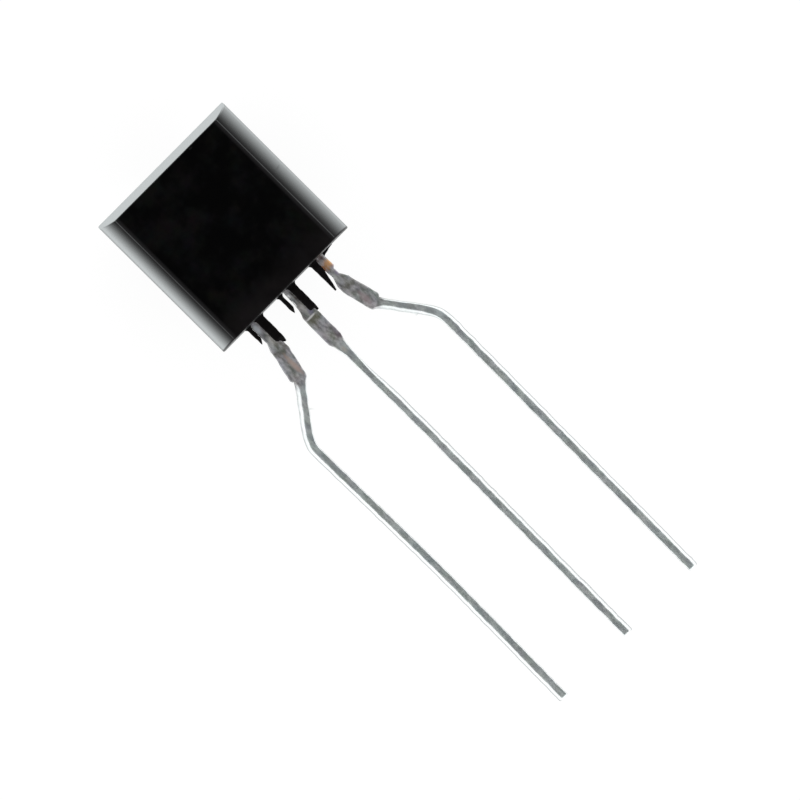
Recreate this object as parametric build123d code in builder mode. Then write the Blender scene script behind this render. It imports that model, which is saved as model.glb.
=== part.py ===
"""A TO-92 transistor, lying on the round back of its case with its flat face up.

The case is a D-section block of moulded epoxy. Three stamped leads leave one end of it. The outer two
are formed outwards to a wide pitch, and all three carry on side by side to their cut tips. The die,
its paddle, the bond posts and the bond wires are inside the case.

Frame: +X along the leads towards their tips, +Y to the right lead, +Z up, out of the flat face. The
origin is on the surface that the part lies on, under the middle of its length. Millimetres.
"""

import os
from math import cos, hypot, radians, sin, sqrt, tan

from build123d import *

# Case
case_height = 5.0  # along the leads, at the parting plane
case_radius = 2.475  # of the round sides and back
flat_distance = 1.475  # from the parting plane forward to the flat face
end_draft = 5.3  # degrees that each end leans in, away from the parting plane
crease_radius = 0.05  # along the two edges of the flat
rest_flat = 0.8  # width of the narrow flat along the lowest line of the back, only 0.033 deep

# Stamped leads
lead_thickness = 0.38
lead_width = 0.3
lead_length = 13.7  # from the case to the tips
lead_pitch = 1.27  # where the leads leave the case
formed_pitch = 2.65  # where the outer leads run straight again
neck_width = 0.25
neck_length = 0.42
dam_width = 0.46  # of the wide stretch where the tie bar was cut away
dam_start = 1.0  # its two ends, measured from the case
dam_end = 2.1
dam_taper = 0.45  # length over which the middle lead narrows again
dam_lean = 13.8  # degrees that the outer leads lean outwards along it
spread_angle = 36.6  # degrees of the outer leads' slanted run
bend_radius = 1.0  # where they turn straight again
strip_overlap = 0.1  # how far a slanted run starts inside the wide stretch
right_toe_in = 0.1  # how far the right tip leans inwards
left_bow = 0.08  # how far the left lead bows inwards at mid length
bow_radius = 60.0
middle_drift = 0.065  # how far the middle tip leans to the left

# Lead ends inside the case, measured inwards from its lead end
stem_width = 0.42
barb_width = 0.75  # the step that locks a lead into the resin
barb_start = 0.8
barb_length = 0.3
post_width = 0.8
post_start = 2.1
post_length = 0.8
paddle_width = 1.3
paddle_start = 1.7
paddle_length = 1.9

# Resin flash, left beside the necks between the case and the tie bar
flash_root = 0.05  # how far a sliver's root reaches into the drafted end
flash_group_width = 0.615  # across one lead and the flash on both its sides
long_flash = 1.0
short_flash = 0.6
flash_tip_width = 0.06
flash_shoulder = 0.9  # share of its length over which a sliver keeps its full width
ramp_length = 0.4  # of the low ridge beside the right lead
ramp_height = 0.09

# Die and bonds
die_size = 0.5
die_height = 0.2
attach_size = 0.56
attach_thickness = 0.03
wire_radius = 0.025
ball_radius = 0.05
ball_height = 0.03
pad_offset = 0.12  # from the die's middle to each bond pad
loop_height = 0.25
loop_radius = 0.12
wedge_length = 0.12
wedge_width = 0.09
wedge_thickness = 0.05

# The frame: the lead plane is the parting plane, as high above the surface as the back is deep
overall_length = case_height + lead_length
seat_x = case_height - overall_length / 2
axis_height = sqrt(case_radius**2 - (rest_flat / 2) ** 2)
seat = (seat_x, 0, axis_height)
die_x = seat_x - paddle_start - paddle_length / 2
lead_plane = Plane(seat)  # x along the leads, y to the right lead
section_plane = Plane(seat, x_dir=(0, 1, 0), z_dir=(1, 0, 0))
side_plane = Plane(seat, x_dir=(1, 0, 0), z_dir=(0, -1, 0))
left, right = -1, 1


def stem_and_barb(centre):
    """The stretch of a lead from the middle of its post to the case's end, with its locking barb."""
    with Locations((-post_start - post_length / 2, centre)):
        Rectangle(post_start + post_length / 2, stem_width, align=(Align.MIN, Align.CENTER))
    with Locations((-barb_start, centre)):
        Rectangle(barb_length, barb_width, align=(Align.MAX, Align.CENTER))


def neck_and_dam(centre, lean):
    """The narrow neck outside the case, its shoulder, and the wide stretch, which leans by some degrees.

    Returns the middle of the wide stretch's far end.
    """
    reach = dam_end - dam_start
    half_neck = neck_width / 2
    across = dam_width / 2 * cos(radians(lean))
    along = dam_width / 2 * sin(radians(lean))
    far = centre + reach * tan(radians(lean))
    Polygon(
        (0, centre - half_neck),
        (neck_length, centre - half_neck),
        (dam_start + along, centre - across),
        (dam_end + along, far - across),
        (dam_end - along, far + across),
        (dam_start - along, centre + across),
        (neck_length, centre + half_neck),
        (0, centre + half_neck),
        align=None,
    )
    return dam_end, far


def outer_lead(side, tip_lean, bow):
    """An outer lead: post, neck, wide stretch, slanted run and straight run.

    side is left or right. tip_lean is how far the tip leans back towards the middle lead, and bow how
    far the straight run bows that way at its middle.
    """
    with BuildPart() as lead:
        with BuildSketch(lead_plane):
            stem_and_barb(side * lead_pitch)
            with Locations((-post_start, side * lead_pitch)):
                Rectangle(post_length, post_width, align=(Align.MAX, Align.CENTER))
            end_x, end_y = neck_and_dam(side * lead_pitch, side * dam_lean)
            slope = tan(radians(spread_angle))
            start = (end_x - strip_overlap, end_y - side * strip_overlap * slope)
            bend_x = start[0] + (formed_pitch - abs(start[1])) / slope
            bow_x = (bend_x + lead_length) / 2
            route = [
                start,
                (bend_x, side * formed_pitch),
                (bow_x, side * (formed_pitch - tip_lean / 2 - bow)),
                (lead_length, side * (formed_pitch - tip_lean)),
            ]
            radii = [bend_radius, bow_radius]
            if bow == 0:
                del route[2], radii[1]
            with BuildLine():
                FilletPolyline(*route, radius=radii)
            trace(line_width=lead_width)
            with Locations((lead_length, side * formed_pitch)):
                Rectangle(lead_width, formed_pitch, align=(Align.MIN, Align.CENTER), mode=Mode.SUBTRACT)
        extrude(amount=lead_thickness / 2, both=True)
    return lead.part


# The leads. Each is one stamping, from its post or paddle to its tip.
left_lead = outer_lead(left, 0, left_bow)
left_lead.label = "left_lead"

right_lead = outer_lead(right, right_toe_in, 0)
right_lead.label = "right_lead"

with BuildPart() as middle_lead:
    with BuildSketch(lead_plane):
        stem_and_barb(0)
        with Locations((-paddle_start, 0)):
            Rectangle(paddle_length, paddle_width, align=(Align.MAX, Align.CENTER))
        end_x, end_y = neck_and_dam(0, 0)
        half_dam, half_lead = dam_width / 2, lead_width / 2
        Polygon(
            (end_x, -half_dam),
            (end_x + dam_taper, -half_lead),
            (lead_length, -half_lead - middle_drift),
            (lead_length, half_lead - middle_drift),
            (end_x + dam_taper, half_lead),
            (end_x, half_dam),
            align=None,
        )
    extrude(amount=lead_thickness / 2, both=True)
middle_lead.part.label = "middle_lead"

# The die, on its layer of attach, on the middle lead's paddle.
paddle_top = lead_thickness / 2
die_base = paddle_top + attach_thickness
die_top = die_base + die_height
die_spot = Plane((die_x, 0, axis_height + paddle_top))

with BuildPart() as die_attach:
    with BuildSketch(die_spot):
        Rectangle(attach_size, attach_size)
    extrude(amount=attach_thickness)
die_attach.part.label = "die_attach"

with BuildPart() as die:
    with BuildSketch(die_spot.offset(attach_thickness)):
        Rectangle(die_size, die_size)
    extrude(amount=die_height)
die.part.label = "die"


def bond_wire(side):
    """A bond wire: ball on the die's pad, loop over the gap, wedge on the post of the lead on that side."""
    pad_x = die_x + side * pad_offset
    pad_y = side * pad_offset
    post_x = seat_x - post_start - post_length / 2
    post_y = side * lead_pitch
    run = hypot(post_x - pad_x, post_y - pad_y)
    wire_start = axis_height + die_top + ball_height
    post_top = axis_height + lead_thickness / 2
    along = ((post_x - pad_x) / run, (post_y - pad_y) / run, 0)
    across = (along[1], -along[0], 0)
    loop_plane = Plane((pad_x, pad_y, wire_start), x_dir=along, z_dir=across)
    drop = post_top + wedge_thickness / 2 - wire_start
    with BuildPart() as wire:
        with BuildLine(loop_plane):
            FilletPolyline((0, 0), (0, loop_height), (run, drop), radius=loop_radius)
        with BuildSketch(Plane((pad_x, pad_y, wire_start))):
            Circle(wire_radius)
        sweep()
        with BuildSketch(Plane((pad_x, pad_y, wire_start - ball_height))):
            Circle(ball_radius)
        extrude(amount=ball_height)
        with BuildSketch(Plane((post_x, post_y, post_top), x_dir=along, z_dir=(0, 0, 1))):
            Rectangle(wedge_length, wedge_width)
        extrude(amount=wedge_thickness)
    return wire.part


emitter_wire = bond_wire(left)
emitter_wire.label = "emitter_wire"
base_wire = bond_wire(right)
base_wire.label = "base_wire"

# The case: a D-section prism with drafted ends, its flash, and the space that the other pieces fill.
with BuildPart() as case:
    with BuildSketch(section_plane):
        Circle(case_radius)
        with Locations((0, flat_distance)):
            Rectangle(2 * case_radius, case_radius, align=(Align.CENTER, Align.MIN), mode=Mode.SUBTRACT)
        with Locations((0, -axis_height)):
            Rectangle(2 * case_radius, case_radius, align=(Align.CENTER, Align.MAX), mode=Mode.SUBTRACT)
    extrude(amount=-case_height)
    fillet(case.edges().filter_by(Axis.X).sort_by(Axis.Z)[-2:], radius=crease_radius)
    lean = tan(radians(end_draft))
    with BuildSketch(side_plane):
        Polygon(
            (0, 0),
            (-flat_distance * lean, flat_distance),
            (flat_distance * lean - case_height, flat_distance),
            (-case_height, 0),
            (case_radius * lean - case_height, -case_radius),
            (-case_radius * lean, -case_radius),
            align=None,
        )
    extrude(amount=case_radius, both=True, mode=Mode.INTERSECT)

    # Each flash sliver narrows to a broken tip. The short one is on the left of a lead, the long one on
    # its right; the right lead has lost its right sliver, and its left one is long.
    half_group, half_neck = flash_group_width / 2, neck_width / 2
    slivers = [
        (left * lead_pitch, left, short_flash),
        (left * lead_pitch, right, long_flash),
        (0, left, short_flash),
        (0, right, long_flash),
        (right * lead_pitch, left, long_flash),
    ]
    with BuildSketch(lead_plane):
        for centre, side, length in slivers:
            Polygon(
                (-flash_root, centre + side * half_neck),
                (-flash_root, centre + side * half_group),
                (length * flash_shoulder, centre + side * half_group),
                (length, centre + side * (half_group - flash_tip_width)),
                (neck_length, centre + side * half_neck),
                align=None,
            )
        Polygon(
            (-flash_root, lead_pitch + half_neck),
            (ramp_height, lead_pitch + half_neck),
            (0, lead_pitch + half_neck + ramp_length),
            (-flash_root, lead_pitch + half_neck + ramp_length),
            align=None,
        )
    extrude(amount=lead_thickness / 2, both=True)
    add(
        [left_lead, middle_lead.part, right_lead, die_attach.part, die.part, emitter_wire, base_wire],
        mode=Mode.SUBTRACT,
    )
case.part.label = "case"

os.makedirs("parts", exist_ok=True)
export_step(case.part, "parts/case.step")
export_step(left_lead, "parts/left_lead.step")
export_step(middle_lead.part, "parts/middle_lead.step")
export_step(right_lead, "parts/right_lead.step")
export_step(die.part, "parts/die.step")
export_step(die_attach.part, "parts/die_attach.step")
export_step(emitter_wire, "parts/emitter_wire.step")
export_step(base_wire, "parts/base_wire.step")
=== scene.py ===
"""A TO-92 transistor, lying on its back with its flat face up: black moulded resin, three tinned leads.

The file goes from the outside in: the bench it lies on, the case, the resin flash, the three leads,
and the chip and wires inside. Sizes are in millimetres and become metres in the meshes.
"""

import bpy
import numpy as np
from mathutils import Matrix, Vector


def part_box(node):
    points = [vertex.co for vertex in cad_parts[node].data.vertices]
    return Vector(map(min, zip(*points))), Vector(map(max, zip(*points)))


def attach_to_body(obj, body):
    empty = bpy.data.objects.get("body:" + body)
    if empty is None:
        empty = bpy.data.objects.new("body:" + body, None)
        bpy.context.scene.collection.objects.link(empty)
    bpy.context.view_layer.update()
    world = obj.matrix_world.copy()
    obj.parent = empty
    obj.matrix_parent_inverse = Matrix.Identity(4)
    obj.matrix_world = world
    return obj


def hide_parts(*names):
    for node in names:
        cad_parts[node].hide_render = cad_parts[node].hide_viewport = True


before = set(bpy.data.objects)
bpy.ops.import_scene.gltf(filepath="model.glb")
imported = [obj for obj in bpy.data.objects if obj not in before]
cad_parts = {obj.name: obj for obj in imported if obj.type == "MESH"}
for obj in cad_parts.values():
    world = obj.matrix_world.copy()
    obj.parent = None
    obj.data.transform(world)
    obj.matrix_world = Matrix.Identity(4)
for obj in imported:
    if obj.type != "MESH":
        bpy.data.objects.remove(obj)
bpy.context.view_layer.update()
MM = 0.001

# ---------------------------------------------------------------------------------------------------
# Places read from the frame. The seat is the middle of the case's lead end, in the plane of the leads,
# and the meshes are worked out from it: x along the leads, y to the right lead, z out of the flat.
case_low, case_high = (np.array(corner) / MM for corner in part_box("case"))
lead_low, lead_high = (np.array(corner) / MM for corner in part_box("middle_lead"))
case_height = 5.0  # in the plane of the leads, without the flash
SEAT = np.array([case_low[0] + case_height, 0.0, (lead_low[2] + lead_high[2]) / 2])
lead_thickness = lead_high[2] - lead_low[2]
back_depth = SEAT[2] - case_low[2]
flat_distance = case_high[2] - SEAT[2]


# ---------------------------------------------------------------------------------------------------
# The bench: a white table under a white tent, with a dark round opening straight above for the lens.
# The camera looks down through it, nearly square on to the flat face.
class Socket:
    """One output of a shader node. Operators on it add Math nodes, and node() adds any other node."""

    def __init__(self, tree, output=None):
        self.tree, self.output = tree, output

    def node(self, kind, settings, inputs, out=0):
        """A node of that kind, with its settings made first and then its sockets' values or links."""
        made = self.tree.nodes.new("ShaderNode" + kind)
        for name, value in settings.items():
            setattr(made, name, value)
        for name, value in inputs.items():
            if isinstance(value, Socket):
                self.tree.links.new(value.output, made.inputs[name])
            else:
                made.inputs[name].default_value = value
        return Socket(self.tree, made.outputs[out] if made.outputs else None)

    def maths(self, operation, first, second=0.0):
        return self.node("Math", {"operation": operation}, {0: first, 1: second})

    def __add__(self, other):
        return self.maths("ADD", self, other)

    def __radd__(self, other):
        return self.maths("ADD", other, self)

    def __sub__(self, other):
        return self.maths("SUBTRACT", self, other)

    def __rsub__(self, other):
        return self.maths("SUBTRACT", other, self)

    def __mul__(self, other):
        return self.maths("MULTIPLY", self, other)

    def ramp(self, low, high):
        """0 below low, 1 above high and smooth between, or the other way round where low is above high."""
        start, end, flip = (low, high, False) if low < high else (high, low, True)
        steps = {"interpolation_type": "SMOOTHSTEP"}
        made = self.node("MapRange", steps, {"Value": self, "From Min": start, "From Max": end})
        return 1 - made if flip else made

    def mix(self, first, second):
        """A colour or link at 0 and another at 1, mixed by this socket."""
        settings = {"data_type": "RGBA"}
        first, second = (c if isinstance(c, Socket) else (*c, 1.0) for c in (first, second))
        return self.node("Mix", settings, {0: self, 6: first, 7: second}, 2)


def new_material(name):
    """An empty node material, with the socket wrapper to build in it."""
    material = bpy.data.materials.new(name)
    material.use_nodes = True
    material.node_tree.nodes.clear()
    return material, Socket(material.node_tree)


def look_at(camera, place, target, up):
    """Turns the camera so that it looks from place to target, with up at the top of its picture."""
    back = (Vector(place) - Vector(target)).normalized()
    side = Vector(up).cross(back).normalized()
    turn = Matrix((side, back.cross(side), back)).transposed().to_4x4()
    camera.matrix_world = Matrix.Translation(Vector(place)) @ turn


view_distance = 300.0
view_centre = np.array([0.12, 0.06, 2.44])  # the point of the part in the middle of the picture
view_tip = np.radians(4.75)  # how far the view leans towards the case's far end
lead_heading = np.radians(44.9)  # of the leads in the picture, below its right-hand side
frame_width = 22.515  # across the picture at the part

camera = bpy.data.objects.new("camera", bpy.data.cameras.new("camera"))
bpy.context.scene.collection.objects.link(camera)
bpy.context.scene.camera = camera
camera.data.sensor_width = 36.0
camera.data.lens = 36.0 * view_distance / frame_width
camera.data.clip_start = 0.01
camera.data.clip_end = 20.0
view_lean = np.array([-np.sin(view_tip), 0.0, np.cos(view_tip)])
view_from = view_centre + view_distance * view_lean
picture_up = (-np.sin(lead_heading), np.cos(lead_heading), 0.0)
look_at(camera, view_from * MM, view_centre * MM, picture_up)

bpy.context.scene.view_settings.view_transform = "Standard"

# The world is the tent: white at the sides and darker towards the lens opening.
world = bpy.data.worlds.new("tent")
bpy.context.scene.world = world
world.use_nodes = True
world.node_tree.nodes.clear()
tent = Socket(world.node_tree)
heading = tent.node("TexCoord", {}, {}, "Generated")
height = tent.node("SeparateXYZ", {}, {"Vector": heading}, "Z")
lens_opening = height.ramp(0.84, 0.94)
wall = lens_opening.mix((1.0, 1.0, 1.0), (0.08, 0.08, 0.084))
seen = tent.node("LightPath", {}, {}, "Is Camera Ray")
shown = seen.mix(wall, (0.8, 0.8, 0.8))
light = tent.node("Background", {}, {"Color": shown, "Strength": 1.25})
tent.node("OutputWorld", {}, {"Surface": light})

# The table: white card, with the part's faint shadow on it.
table_side = 3.0
corners = [(x * table_side, y * table_side, 0.0) for x, y in ((-1, -1), (1, -1), (1, 1), (-1, 1))]
table_mesh = bpy.data.meshes.new("table")
table_mesh.from_pydata(corners, [], [(0, 1, 2, 3)])
table = bpy.data.objects.new("table", table_mesh)
bpy.context.scene.collection.objects.link(table)
card, shade = new_material("white_card")
direct = shade.node("LightPath", {}, {}, "Is Camera Ray")
mirrored = shade.node("LightPath", {}, {}, "Is Glossy Ray")
paper = shade.node("BsdfDiffuse", {}, {"Color": (0.84, 0.84, 0.84, 1.0)})
glow = shade.node("Emission", {}, {"Color": (1.0, 1.0, 1.0, 1.0), "Strength": 1.06})
share = direct * 0.86 + mirrored * 0.86
surface = shade.node("MixShader", {}, {0: share, 1: paper, 2: glow})
shade.node("OutputMaterial", {}, {"Surface": surface})
table_mesh.materials.append(card)


# ---------------------------------------------------------------------------------------------------
# The case: silica-filled epoxy, moulded in two halves that meet in the plane of the leads. Its section
# is a circle with a flat cut off, and each half of each end leans in by the mould's draft.
def skins_mesh(name, skins, sharp_angle):
    """One mesh of several closed skins, each an array of rings of shape (rings, points, 3) in
    millimetres from the seat.

    Each ring is joined to the next point by point, and a skin's first and last rings are closed by a face.
    """
    faces = []
    start = 0
    for rings in skins:
        count, around = rings.shape[:2]
        index = start + np.arange(count * around).reshape(count, around)
        near, far = index[:-1], index[1:]
        quads = np.stack([near, np.roll(near, -1, 1), np.roll(far, -1, 1), far], -1).reshape(-1, 4)
        faces += [*quads.tolist(), index[0][::-1].tolist(), index[-1].tolist()]
        start += count * around
    points = np.concatenate([rings.reshape(-1, 3) for rings in skins])
    mesh = bpy.data.meshes.new(name)
    mesh.from_pydata((points + SEAT) * MM, [], faces)
    mesh.polygons.foreach_set("use_smooth", [True] * len(mesh.polygons))
    mesh.set_sharp_from_angle(angle=np.radians(sharp_angle))
    piece = bpy.data.objects.new(name, mesh)
    bpy.context.scene.collection.objects.link(piece)
    return piece


def arc(centre, radius, start, stop, steps):
    """Points of a circular arc, from one angle to another in degrees, as an array of shape (points, 2)."""
    turn = np.radians(np.linspace(start, stop, steps))
    return np.array(centre) + radius * np.stack([np.cos(turn), np.sin(turn)], -1)


case_radius = 2.475
crease_radius = 0.06
end_radius = 0.04
end_draft = np.tan(np.radians(5.3))

# The outline, anticlockwise from the parting plane on the right: side, crease, flat, crease, side, back.
crease_height = flat_distance - crease_radius
crease_across = np.sqrt((case_radius - crease_radius) ** 2 - crease_height**2)
crease_angle = np.degrees(np.arctan2(crease_height, crease_across))
flat_steps = np.array([1, 0.985, 0.95, 0.9, 0.8, 0.65, 0.5, 0.35, 0.2, 0.05])
flat_across = crease_across * np.concatenate([flat_steps, -flat_steps[::-1]])
outline = np.concatenate([
    arc((0, 0), case_radius, 0, crease_angle, 28)[:-1],
    arc((crease_across, crease_height), crease_radius, crease_angle, 90, 9)[:-1],
    np.stack([flat_across, np.full_like(flat_across, flat_distance)], -1),
    arc((-crease_across, crease_height), crease_radius, 90, 180 - crease_angle, 9)[1:],
    arc((0, 0), case_radius, 180 - crease_angle, 180, 28)[1:],
    arc((0, 0), case_radius, 180, 360, 121)[1:-1],
])
ahead = np.roll(outline, -1, 0) - np.roll(outline, 1, 0)
outward = np.stack([ahead[:, 1], -ahead[:, 0]], -1) / np.linalg.norm(ahead, axis=1, keepdims=True)


def case_rings():
    """Rings of the case from its far end to its lead end.

    At an end the outline shrinks along a quarter circle of end_radius, and then towards its middle.
    Every point's distance along the case is the half height less the draft times its distance from
    the parting plane. The back is cut off flat at the depth of the frame's own case.
    """
    turn = np.radians(np.linspace(0, 90, 13))
    inset = end_radius * (1 - np.cos(turn))
    short = end_radius * (1 - np.sin(turn))
    shrink = np.array([1.0, 0.99, 0.9, 0.7, 0.5, 0.3, 0.12, 0.01])
    edge = outline[None] - inset[:, None, None] * outward[None]
    cap = edge[-1][None] * shrink[1:, None, None]
    section = np.concatenate([edge, cap])
    drop = np.concatenate([short, np.zeros(len(cap))])[:, None]
    reach = case_height / 2 - drop - np.abs(section[..., 1]) * end_draft
    section[..., 1] = np.maximum(section[..., 1], -back_depth)
    lead_end = np.concatenate([reach[..., None], section], -1)
    far_end = lead_end * (-1, 1, 1)
    sides = np.linspace(-0.995, 0.995, 24)[:, None] * reach[0][None]
    barrel = np.concatenate([sides[..., None], np.repeat(section[:1], len(sides), 0)], -1)
    rings = np.concatenate([far_end[::-1], barrel, lead_end])
    rings[..., 0] -= case_height / 2
    return rings


def wander(along, period, size, seed):
    """A smooth random line: random heights at every period, joined by cosines, of that size."""
    dice = np.random.default_rng(seed)
    knots = np.arange(along[0] - period, along[-1] + 2 * period, period)
    heights = dice.uniform(-1, 1, len(knots))
    spot = (along - knots[0]) / period
    low = np.floor(spot).astype(int)
    blend = (1 - np.cos((spot - low) * np.pi)) / 2
    return size * (heights[low] * (1 - blend) + heights[low + 1] * blend)


def bar_rings(places, flow, left, right, top, bottom, radii):
    """Rings of a flat bar along a route: a rectangle with rounded corners across it at every point.

    left and right are its edges across the route, top and bottom its faces, each an array over the
    route, and radii the corners in the order right top, left top, left bottom, right bottom.
    """
    half = np.minimum(np.abs(right - left), np.abs(top - bottom)) * 0.49
    corners = []
    for number, (side, face, towards, rise) in enumerate(
        ((right, top, 1, 1), (left, top, -1, 1), (left, bottom, -1, -1), (right, bottom, 1, -1))
    ):
        turn = np.radians(np.linspace(90 * number, 90 * number + 90, 9))[None]
        small = np.minimum(radii[number], half)[:, None]
        across = side[:, None] - towards * small + small * np.cos(turn)
        up = face[:, None] - rise * small + small * np.sin(turn)
        corners.append(np.stack([across, up], -1))
    section = np.concatenate(corners, 1)
    normal = np.stack([-flow[:, 1], flow[:, 0]], -1)
    x = places[:, 0:1] + normal[:, 0:1] * section[..., 0]
    y = places[:, 1:2] + normal[:, 1:2] * section[..., 0]
    return np.stack([x, y, section[..., 1]], -1)


# The flash: resin that crept past the seat beside each lead, as far as the tie bar, and broke off.
# It has five slivers and one low ridge, and each starts a little inside the case.
flash_root = -0.08
flash_top = lead_thickness / 2 + 0.012
flash_corner = 0.03


def sliver(root_left, root_right, reach, point_at, point_width, seed, shoulder=0.72):
    """Rings of one sliver of flash, from its left and right edge at the root out to its reach.

    After its shoulder, a share of the reach, it narrows to a ragged point at that share of its width.
    """
    along = np.linspace(flash_root, reach, 44)
    share = np.clip((along / reach - shoulder) / (1 - shoulder), 0, 1) ** 1.3
    target = root_left + (root_right - root_left) * point_at
    left = root_left + (target - point_width / 2 - root_left) * share
    right = root_right + (target + point_width / 2 - root_right) * share
    loose = np.clip(along / 0.15, 0, 1) * (1 - 0.6 * share)
    spread = 0.05 * np.exp(-np.clip(along, 0, 1) / 0.03)
    left = left + wander(along, 0.13, 0.006, seed) * loose - spread
    right = right + wander(along, 0.11, 0.006, seed + 1) * loose + spread
    top = flash_top + wander(along, 0.12, 0.006, seed + 2) - 0.07 * share
    bottom = -flash_top + 0.1 * share
    places = np.stack([along, np.zeros_like(along)], -1)
    flow = np.repeat([[1.0, 0.0]], len(along), 0)
    return bar_rings(places, flow, left, right, top, bottom, (flash_corner,) * 4)


def seat_ramp():
    """The low ridge left on the case's edge at the right of the right lead, thinning out sideways."""
    across = np.linspace(1.38, 1.82, 24)
    rise = 0.10 * np.linspace(1, 0, 24) ** 1.4 + 0.004
    rise = rise + wander(across, 0.06, 0.006, 91) * (across < 1.7)
    places = np.stack([np.zeros_like(across), across], -1)
    flow = np.repeat([[0.0, 1.0]], len(across), 0)
    low = np.full_like(across, -flash_top)
    return bar_rings(places, flow, -rise, -flash_root + 0 * rise, 0 * rise + 0.16, low, (flash_corner,) * 4)


slivers = [
    sliver(-1.575, -1.455, 0.60, 0.15, 0.02, 11),
    sliver(-1.235, -0.965, 1.00, 0.80, 0.05, 21, 0.80),
    sliver(-0.322, -0.195, 0.62, 0.30, 0.02, 31),
    sliver(0.055, 0.300, 1.02, 0.70, 0.10, 41, 0.84),
    sliver(0.950, 1.165, 1.00, 0.14, 0.05, 51, 0.22),
]
case = skins_mesh("moulded_case", [case_rings(), *slivers, seat_ramp()], 9.5)


def noise(shade, place, scale, detail=3.0, rough=0.55, out="Fac"):
    """Fractal noise at a number of lumps to the millimetre."""
    values = {"Vector": place, "Scale": scale / MM, "Detail": detail, "Roughness": rough}
    return shade.node("TexNoise", {}, values, out)


def bump(shade, height, depth, under=None):
    """A surface normal from a height of 0 to 1 that stands for that many millimetres."""
    values = {"Height": height, "Distance": depth * MM, "Strength": 1.0}
    if under:
        values["Normal"] = under
    return shade.node("Bump", {}, values)


def patch(along, across, x, y, long, wide, ragged):
    """1 in a small oval patch and 0 outside it, with an edge made ragged by a noise around 0.5."""
    first = (along - x) * (1 / long)
    second = (across - y) * (1 / wide)
    return (first * first + second * second + ragged * 3.0).ramp(2.9, 1.1)


def moulding_resin():
    """Black filled epoxy: a deep black satin skin that turns pale where it is seen edge on."""
    material, shade = new_material("moulding_resin")
    place = shade.node("TexCoord", {}, {}, "Object")
    clouds = noise(shade, place, 0.9, 3.0, 0.6)
    smears = noise(shade, place, 2.4, 3.0, 0.6, "Color")
    grain = noise(shade, place, 24.0, 4.0, 0.6)
    apart = shade.node("VectorMath", {"operation": "SUBTRACT"}, {0: place, 1: tuple(SEAT * MM)})
    along, across, up = (shade.node("SeparateXYZ", {}, {"Vector": apart}, axis) * 1000 for axis in "XYZ")

    # The flat is black and a little browner towards the leads, and a painted highlight makes it greyer
    # beside its creases.
    black = (0.0002, 0.0002, 0.00025, 1.0)
    tinted = shade.node("Mix", {"data_type": "RGBA"}, {0: 0.996, 6: smears, 7: black}, 2)
    colour = clouds.ramp(0.45, 0.68).mix(black[:3], tinted)
    colour = (along.ramp(-1.1, -0.2) * clouds).mix(colour, (0.0085, 0.0072, 0.0075))
    # Painted highlight: the base colour turns grey in a band along the creases.
    painted_crease_light = across.maths("ABSOLUTE", across).ramp(1.86, 1.95) * up.ramp(1.42, 1.45)
    colour = (painted_crease_light * 0.9).mix(colour, (0.012, 0.0115, 0.012))
    roughness = 0.26 + clouds * 0.10 + grain * 0.06
    normal = bump(shade, grain, 0.0012)
    values = {"Base Color": colour, "Roughness": roughness, "Normal": normal, "Specular IOR Level": 0.06}
    resin = shade.node("BsdfPrincipled", {}, values)

    # The skin's pale sheen: none square on, and nearly white edge on. A painted highlight runs along the
    # creases beside the flat, and the sheen is nicked at one edge and one side. Painted shade darkens it
    # along the silhouette and on the right side, and leaves the lead end almost none. It is thinner on the
    # flat and along the rough parting line.
    facing = shade.node("LayerWeight", {}, {"Blend": 0.5, "Normal": normal}, "Facing")
    end_lean = up.maths("ABSOLUTE", up) * end_draft
    far_end = (along + case_height - end_lean).ramp(0.06, 0.03)
    # Painted shade: the next masks darken the lead end, a line along the silhouette and the right side.
    lead_end = (along + end_lean).ramp(-0.07, -0.035)
    painted_rim_shade = facing.ramp(0.76, 0.92) * (1 - far_end)
    painted_right_shade = across.ramp(1.4, 1.9) * facing.ramp(0.86, 0.74) * (1 - far_end)
    parting = up.ramp(-0.09, -0.02) * up.ramp(0.09, 0.02) * grain.ramp(0.35, 0.6)
    sheen = facing.ramp(0.41, 0.80) * (0.84 + grain * 0.14)
    sheen = sheen * (1 - painted_rim_shade * 0.45) * (1 - painted_right_shade * 0.45) * (1 - parting * 0.35)
    # Painted highlight: extra sheen in a thin band along the creases.
    painted_crease_highlight = up.ramp(1.435, 1.450) * up.ramp(1.472, 1.462) * clouds * 0.13
    top_nick = patch(along, across, -4.79, 0.93, 0.03, 0.07, grain) * up.ramp(1.3, 1.4)
    side_nick = patch(along, across, -2.65, 2.27, 0.04, 0.09, grain)
    flat = up.ramp(1.464, 1.474)
    pale = (sheen + painted_crease_highlight + top_nick * 0.2) * (1 - side_nick * 0.3)
    pale = pale * (1 - lead_end * 0.85) * (1 - flat * 0.75)
    skin = shade.node("BsdfAnisotropic", {}, {"Color": (0.64, 0.675, 0.68, 1.0), "Roughness": 0.3})
    surface = shade.node("MixShader", {}, {0: pale, 1: resin, 2: skin})
    shade.node("OutputMaterial", {}, {"Surface": surface})
    return material


resin = moulding_resin()
case.data.materials.append(resin)
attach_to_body(case, "root")
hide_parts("case")


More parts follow.
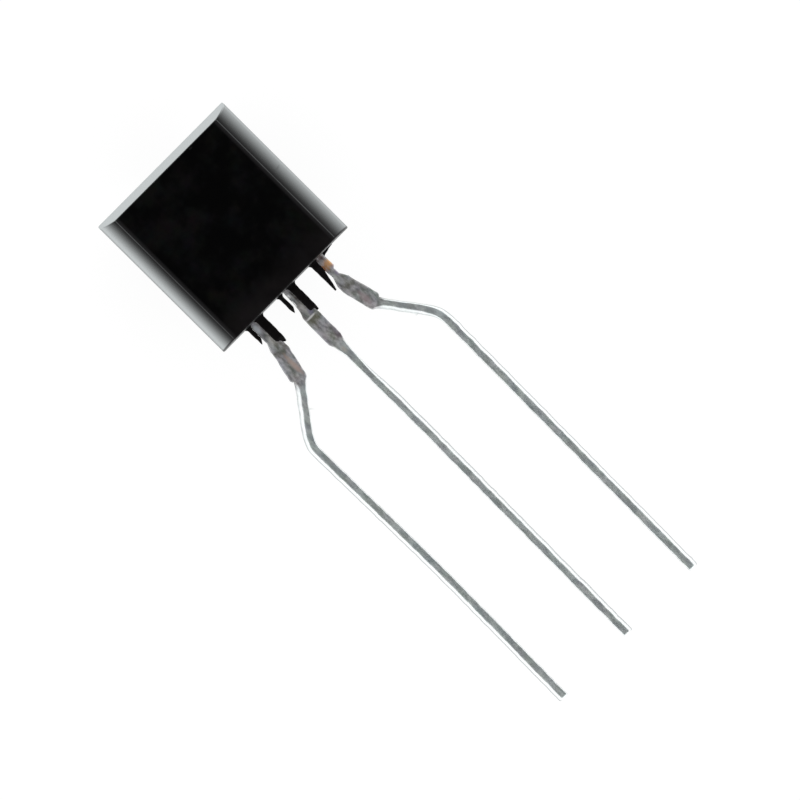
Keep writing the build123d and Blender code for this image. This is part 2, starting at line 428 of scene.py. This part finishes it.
# ---------------------------------------------------------------------------------------------------
# The leads: stamped from copper alloy strip, dull tin plated after moulding. Each leaves the case by a
# narrow neck, widens where the tie bar was cut away, and narrows again to its own width.
def rounded_route(points, radii, spacing):
    """Points and headings along straight runs joined by tangent arcs, one radius for each corner.

    An arc takes radius times tan(turn / 2) off both runs at its corner, and the heading turns evenly
    along it. Returns places, headings and the distances along, a spacing apart.
    """
    points = np.array(points, float)
    runs = np.diff(points, axis=0)
    heading = np.arctan2(runs[:, 1], runs[:, 0])
    turn = np.abs(np.diff(heading))
    trim = np.concatenate([[0], np.array(radii) * np.tan(turn / 2), [0]])
    straight = np.linalg.norm(runs, axis=1) - trim[:-1] - trim[1:]
    curved = np.append(np.array(radii) * turn, 0.0)
    stops = np.cumsum(np.stack([straight, curved], -1).reshape(-1))
    along = np.linspace(0, stops[-1], int(stops[-1] / spacing) + 1)
    before_after = np.stack([heading, np.append(heading[1:], heading[-1])], -1).reshape(-1)
    knots = np.concatenate([[0], stops])
    angle = np.interp(along, knots, np.concatenate([heading[:1], before_after]))
    flow = np.stack([np.cos(angle), np.sin(angle)], -1)
    middle = (flow[1:] + flow[:-1]) / 2
    middle /= np.linalg.norm(middle, axis=1, keepdims=True)
    moved = np.cumsum(middle * np.diff(along)[:, None], 0)
    return points[0] + np.concatenate([np.zeros((1, 2)), moved]), flow, along


def lead_skin(route, radii, edges, rolled, seed):
    """The skin of one lead from inside the case to its cut tip.

    edges is a list of (distance from the seat, left half width, right half width), and the half
    widths run straight between them. rolled lists the radius of the left and of the right top edge in
    the same way: the punch has rolled one of them over beyond the stretch where the tie bar was cut.
    """
    places, flow, along = rounded_route(route, radii, 0.02)
    seat_distance = along - np.interp(0.0, places[:, 0], along)
    stops, left_half, right_half = np.array(edges).T
    left = -np.interp(seat_distance, stops, left_half)
    right = np.interp(seat_distance, stops, right_half)
    free = np.clip((seat_distance - 0.1) / 0.3, 0, 1)
    left = left + wander(along, 0.21, 0.007, seed) * free + wander(along, 0.07, 0.003, seed + 1) * free
    right = right + wander(along, 0.19, 0.007, seed + 2) * free + wander(along, 0.06, 0.003, seed + 3) * free
    half = lead_thickness / 2
    face = wander(along, 0.35, 0.004, seed + 4) * free - 0.004
    bends, left_roll, right_roll = np.array(rolled).T
    plain = np.full_like(along, cut_edge)
    roll = (np.interp(seat_distance, bends, right_roll), np.interp(seat_distance, bends, left_roll))
    tip = np.clip((seat_distance[-1] - seat_distance) / 0.05, 0, 1) ** 0.5
    worn = 1 - 0.12 * (1 - tip)
    top, bottom = (half + face) * worn, -half * worn
    return bar_rings(places, flow, left * worn, right * worn, top, bottom, (*roll, plain, plain))


cut_edge = 0.03  # the corner radius of an edge that is left as it was stamped
lead_half = 0.15
lead_reach = 13.697  # from the seat to the cut tips
post = [(-2.9, 0.4, 0.4), (-2.1, 0.4, 0.4), (-2.099, 0.21, 0.21)]
barb = [(-1.1, 0.21, 0.21), (-1.099, 0.375, 0.375), (-0.8, 0.375, 0.375), (-0.799, 0.21, 0.21)]
root = [(-0.06, 0.21, 0.21)]

left_route = [(-2.9, -1.27), (1.0, -1.27), (2.06, -1.53), (3.55, -2.64), (8.65, -2.57), (lead_reach, -2.64)]
left_edges = [
    *post, *barb, *root,
    (0.0, 0.184, 0.10), (0.70, 0.184, 0.10), (0.95, 0.28, 0.18), (1.15, 0.265, 0.225),
    (1.98, 0.255, 0.24), (2.06, 0.20, 0.23), (2.12, 0.17, 0.165), (2.3, lead_half, lead_half),
    (14.5, lead_half, lead_half),
]
right_route = [(-2.9, 1.27), (1.0, 1.27), (2.06, 1.54), (3.55, 2.638), (lead_reach, 2.55)]
right_edges = [
    *post, *barb, *root,
    (0.0, 0.115, 0.17), (0.44, 0.115, 0.17), (0.52, 0.105, 0.10), (0.72, 0.10, 0.12), (0.98, 0.19, 0.26),
    (1.15, 0.23, 0.25),
    (1.98, 0.24, 0.25), (2.06, 0.23, 0.20), (2.12, 0.165, 0.17), (2.3, lead_half, lead_half),
    (14.5, lead_half, lead_half),
]
middle_route = [(-3.6, 0.0), (2.1, 0.0), (5.5, 0.02), (lead_reach, -0.06)]
middle_edges = [
    (-3.6, 0.65, 0.65), (-1.7, 0.65, 0.65), (-1.699, 0.21, 0.21), *barb, *root,
    (0.0, 0.12, 0.075), (0.50, 0.13, 0.07), (0.66, 0.15, 0.07), (0.92, 0.24, 0.215), (1.15, 0.25, 0.22),
    (1.95, 0.25, 0.22), (2.12, 0.18, 0.16), (2.50, 0.125, 0.115), (3.20, 0.13, 0.10),
    (4.10, 0.14, lead_half), (8.0, lead_half, lead_half),
    (14.5, lead_half, lead_half),
]


def burr(start, end, width, seed):
    """A curled shaving from one point of a lead's edge to another, thinning to nothing at its end."""
    share = np.linspace(0, 1, 14)
    run = np.array(end, float) - start
    flow = np.repeat([run / np.linalg.norm(run)], len(share), 0)
    side = np.stack([-flow[:, 1], flow[:, 0]], -1)
    curl = np.sin(share * np.pi) * width * 0.6
    places = np.array(start) + share[:, None] * run + side * curl[:, None]
    half = width / 2 * (1 - 0.85 * share) + wander(share, 0.2, width * 0.08, seed)
    return bar_rings(places, flow, -half, half, 0.12 + half, 0.12 - half, (width / 4,) * 4)


left_rolled = [(2.0, 0.04, cut_edge), (2.4, 0.15, cut_edge), (4.5, 0.13, cut_edge)]
middle_rolled = [(2.6, cut_edge, cut_edge), (4.1, cut_edge, 0.13)]
right_rolled = [(2.0, cut_edge, 0.04), (2.3, 0.15, 0.04), (3.4, 0.12, 0.04), (4.1, cut_edge, 0.12)]
left_skins = [
    lead_skin(left_route, [0.3, 0.25, 1.0, 60], left_edges, left_rolled, 3),
    burr((2.82, -1.99), (2.93, -1.82), 0.05, 5),
    burr((1.00, -1.12), (0.93, -1.01), 0.06, 7),
]
middle_skins = [lead_skin(middle_route, [20, 20], middle_edges, middle_rolled, 103)]
right_skins = [
    lead_skin(right_route, [0.3, 0.25, 1.0], right_edges, right_rolled, 203),
    burr((3.10, 2.12), (3.06, 2.06), 0.03, 9),
]
left_lead = skins_mesh("stamped_left_lead", left_skins, 32)
middle_lead = skins_mesh("stamped_middle_lead", middle_skins, 32)
right_lead = skins_mesh("stamped_right_lead", right_skins, 32)


def tinned_lead():
    """Dull tin plating, darker and browner where the tie bar was cut, with bare copper on one neck."""
    material, shade = new_material("tinned_lead")
    place = shade.node("TexCoord", {}, {}, "Object")
    drawn = shade.node("Mapping", {}, {"Vector": place, "Scale": (0.55, 1.0, 1.0)})
    clouds = noise(shade, place, 2.2, 4.0, 0.6)
    blotches = noise(shade, drawn, 7.0, 5.0, 0.66)
    specks = noise(shade, place, 26.0, 3.0, 0.6)
    tint = noise(shade, drawn, 4.0, 2.0, 0.5, "Color")
    free = blotches.ramp(0.32, 0.68).mix((0.56, 0.625, 0.62), (0.88, 0.95, 0.93))
    worked = blotches.ramp(0.32, 0.70).mix((0.14, 0.145, 0.14), (0.50, 0.495, 0.51))

    # Distances along the part and across it, from the seat, in millimetres.
    apart = shade.node("VectorMath", {"operation": "SUBTRACT"}, {0: place, 1: tuple(SEAT * MM)})
    along = shade.node("SeparateXYZ", {}, {"Vector": apart}, "X") * 1000
    across = shade.node("SeparateXYZ", {}, {"Vector": apart}, "Y") * 1000
    run = (along + blotches * 0.14 + clouds * 0.2).ramp(2.15, 2.50)
    colour = run.mix(worked, free)
    colour = shade.node("Mix", {"data_type": "RGBA"}, {0: 0.10, 6: colour, 7: tint}, 2)
    colour = (specks.ramp(0.60, 0.72) * 0.45).mix(colour, (0.24, 0.24, 0.23))

    # Stains, dark necks and painted highlights, each with its place, half length, half width, strength and
    # colour.
    for x, y, long, wide, strength, stain in (
        (1.12, 0.00, 0.14, 0.30, 0.7, (0.14, 0.135, 0.08)),  # brown edges of the cut tie bar
        (1.10, -1.32, 0.14, 0.32, 0.6, (0.13, 0.13, 0.09)),
        (1.12, 1.33, 0.14, 0.32, 0.6, (0.13, 0.13, 0.10)),
        (1.62, -1.33, 0.40, 0.09, 0.7, (0.62, 0.47, 0.40)),  # rubbed warm on the outer leads
        (1.74, 1.40, 0.28, 0.11, 0.6, (0.42, 0.31, 0.33)),
        (0.66, 1.34, 0.12, 0.05, 0.6, (0.34, 0.29, 0.42)),  # violet on two shoulders
        (0.90, 0.05, 0.12, 0.09, 0.7, (0.22, 0.21, 0.31)),
        (0.45, -1.19, 0.55, 0.07, 0.9, (0.035, 0.018, 0.014)),  # dark along the necks
        (0.25, 0.03, 0.36, 0.05, 0.9, (0.035, 0.020, 0.016)),
        (0.04, 1.28, 0.14, 0.16, 0.9, (0.07, 0.025, 0.020)),
        (0.20, -1.36, 0.18, 0.08, 0.8, (0.66, 0.70, 0.74)),  # painted highlights
        (0.17, -0.07, 0.08, 0.04, 1.0, (1.0, 1.0, 1.0)),
        (0.42, -0.12, 0.12, 0.03, 1.0, (1.0, 1.0, 1.0)),
        (1.02, -0.06, 0.035, 0.20, 0.8, (0.9, 0.9, 0.9)),
        (0.75, 1.22, 0.20, 0.06, 0.8, (0.62, 0.63, 0.62)),
        (2.32, -0.03, 0.12, 0.08, 0.6, (0.85, 0.78, 0.68)),
    ):
        colour = (patch(along, across, x, y, long, wide, blotches) * strength).mix(colour, stain)
    bare = patch(along, across, 0.30, 1.30, 0.16, 0.30, blotches)
    copper = (blotches * 0.3 + across.ramp(1.15, 1.44) * 0.8).mix((0.20, 0.05, 0.01), (0.98, 0.56, 0.24))
    colour = bare.mix(colour, copper)

    # Painted light by the way each surface faces: the rolled edge between face and side is a painted
    # highlight, near white, and the sheared sides get painted shade, darker than the face. Both are fainter
    # on the slanting stretch than on the straight one beyond it.
    normal = bump(shade, blotches, 0.003)
    normal = bump(shade, specks, 0.0015, normal)
    upright = shade.node("SeparateXYZ", {}, {"Vector": shade.node("TexCoord", {}, {}, "Normal")}, "Z")
    painted_edge_highlight = upright.ramp(0.995, 0.93) * upright.ramp(0.40, 0.55) * run
    beyond = along.ramp(2.7, 4.4)
    colour = (painted_edge_highlight * (beyond * 0.22 + 0.58)).mix(colour, (0.95, 0.97, 0.98))
    # Painted shade: the steep sides turn a darker grey.
    colour = (upright.ramp(0.62, 0.42) * (beyond * 0.6 + 0.15)).mix(colour, (0.34, 0.355, 0.365))
    roughness = 0.24 + blotches * 0.12 + (1 - run) * 0.16
    values = {"Base Color": colour, "Metallic": 0.85, "Roughness": roughness, "Normal": normal}
    tin = shade.node("BsdfPrincipled", {}, values)
    shade.node("OutputMaterial", {}, {"Surface": tin})
    return material


tin = tinned_lead()
for piece, node in ((left_lead, "left_lead"), (middle_lead, "middle_lead"), (right_lead, "right_lead")):
    piece.data.materials.append(tin)
    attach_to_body(piece, "root")
    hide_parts(node)


# ---------------------------------------------------------------------------------------------------
# Inside the case: the silicon chip on its layer of silver-filled resin, on the middle lead's paddle,
# and the two bond wires. Their shapes are the frame's own, so they only get their surfaces here.
def plain_surface(name, first, second, lumps, metallic, roughness, spread, depth):
    """A surface of two mixed colours, with a grain of that many lumps to the millimetre."""
    material, shade = new_material(name)
    place = shade.node("TexCoord", {}, {}, "Object")
    grain = noise(shade, place, lumps)
    values = {
        "Base Color": grain.ramp(0.35, 0.65).mix(first, second),
        "Metallic": metallic,
        "Roughness": roughness + grain * spread,
        "Normal": bump(shade, grain, depth),
    }
    surface = shade.node("BsdfPrincipled", {}, values)
    shade.node("OutputMaterial", {}, {"Surface": surface})
    return material


silicon = plain_surface("silicon", (0.10, 0.11, 0.15), (0.16, 0.17, 0.22), 9.0, 0.6, 0.12, 0.10, 0.0006)
attach = plain_surface("attach_resin", (0.50, 0.50, 0.48), (0.66, 0.66, 0.63), 30.0, 0.7, 0.40, 0.20, 0.004)
gold = plain_surface("bond_wire", (0.85, 0.60, 0.24), (0.92, 0.70, 0.34), 40.0, 1.0, 0.18, 0.10, 0.001)
inside = {"die": silicon, "die_attach": attach, "emitter_wire": gold, "base_wire": gold}
for node, material in inside.items():
    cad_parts[node].material_slots[0].material = material
